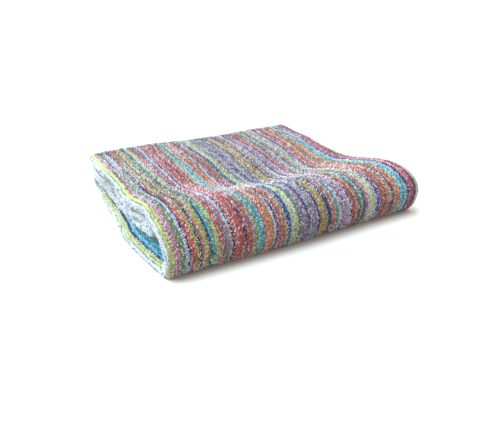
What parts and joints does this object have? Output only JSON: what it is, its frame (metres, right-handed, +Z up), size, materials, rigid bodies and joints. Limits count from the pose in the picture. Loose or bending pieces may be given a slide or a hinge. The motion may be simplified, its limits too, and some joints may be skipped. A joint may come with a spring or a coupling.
{
  "type": "folded bath towel",
  "caption": "Striped terry bath towel folded across its width and twice along its length into a flat stack with a round front fold.",
  "frame": {"origin": "centre of the folded towel's footprint, on the ground", "axes": "+X along the front fold to the right, away from the width fold; +Y from the round front fold to the hems at the back; +Z up"},
  "size_m": [0.3188, 0.266, 0.0525],
  "materials": {
    "terry": "looped cotton terry with irregular lengthwise stripes in many colours"
  },
  "bodies": {
    "root": {"towel": "terry"}
  },
  "joints": []
}
